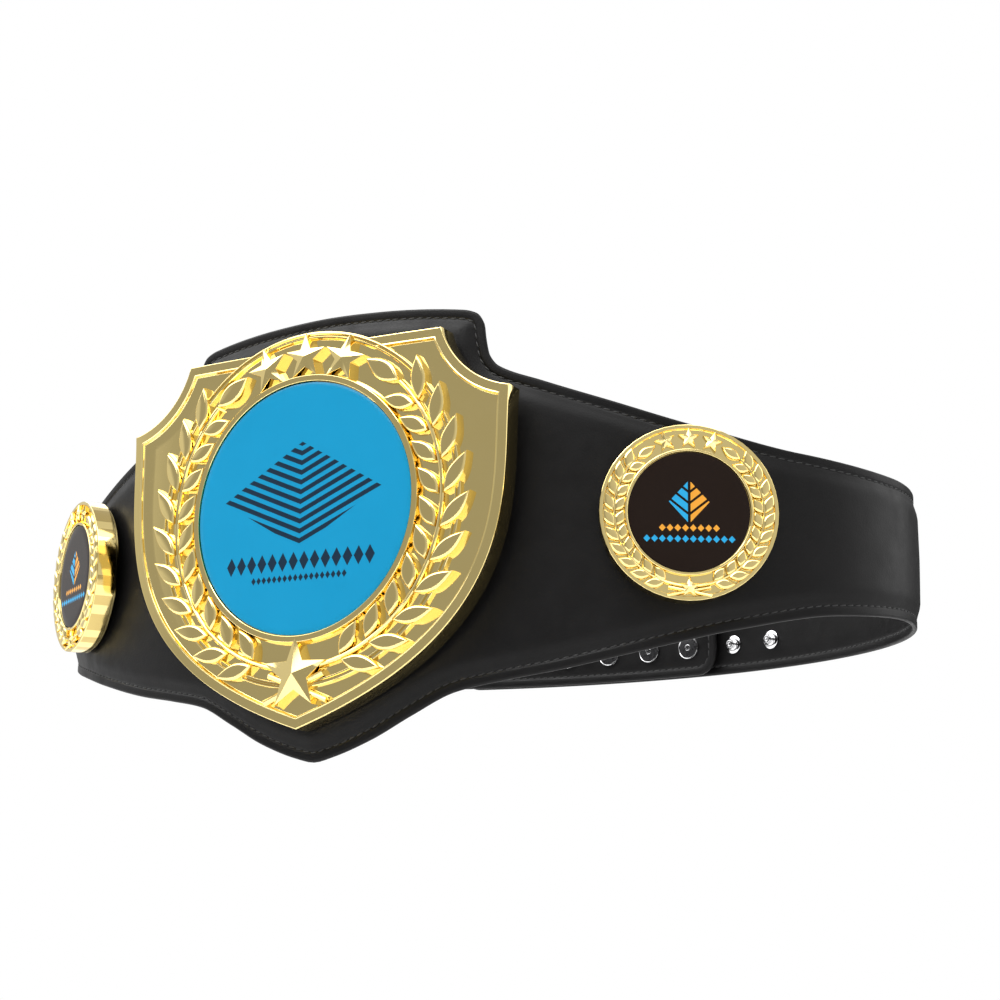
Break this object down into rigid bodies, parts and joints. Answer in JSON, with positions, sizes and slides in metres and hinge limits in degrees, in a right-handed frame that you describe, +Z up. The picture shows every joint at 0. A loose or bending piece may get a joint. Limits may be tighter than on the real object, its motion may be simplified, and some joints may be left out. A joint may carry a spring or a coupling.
{
  "type": "championship title belt",
  "caption": "Padded leather title belt worn round the waist, with a gold shield plate in front, round gold side plates and a snap closing at the back.",
  "frame": {"origin": "centre of the waist hollow, halfway up the straps", "axes": "+X to the right seen from the front, along the belt's greatest width; -Y out of the front, through the shield plate; +Z up"},
  "size_m": [0.454, 0.287, 0.2015],
  "materials": {
    "leather": "black leather with a fine grain and a satin sheen",
    "thread": "black twisted thread",
    "gold_plate": "polished pale gold plating over cast relief",
    "blue_print": "glossy print in sky blue with a plain dark pattern",
    "black_print": "glossy black print with a plain two-colour pattern",
    "dark_metal": "black enamelled snap caps with bright worn rims",
    "bright_metal": "bright nickel plating"
  },
  "bodies": {
    "root": {"belt_band": "leather", "center_plate": "gold_plate", "center_disc": "blue_print", "side_plate_right": "gold_plate", "side_disc_right": "black_print", "side_plate_left": "gold_plate", "side_disc_left": "black_print", "plate_screw_upper": "bright_metal", "plate_screw_lower": "bright_metal", "side_screw_right": "bright_metal", "side_screw_left": "bright_metal", "snap_stud_lower_1": "bright_metal", "snap_cap_lower_1": "dark_metal", "snap_stud_lower_2": "bright_metal", "snap_cap_lower_2": "dark_metal", "snap_stud_lower_3": "bright_metal", "snap_cap_lower_3": "dark_metal", "snap_stud_lower_4": "bright_metal", "snap_cap_lower_4": "dark_metal", "snap_stud_lower_5": "bright_metal", "snap_cap_lower_5": "dark_metal", "snap_stud_lower_6": "bright_metal", "snap_stud_lower_7": "bright_metal", "snap_stud_upper_1": "bright_metal", "snap_cap_upper_1": "dark_metal", "snap_stud_upper_2": "bright_metal", "snap_cap_upper_2": "dark_metal", "snap_stud_upper_3": "bright_metal", "snap_cap_upper_3": "dark_metal", "snap_stud_upper_4": "bright_metal", "snap_cap_upper_4": "dark_metal", "snap_stud_upper_5": "bright_metal", "snap_cap_upper_5": "dark_metal", "snap_stud_upper_6": "bright_metal", "snap_stud_upper_7": "bright_metal"}
  },
  "joints": []
}
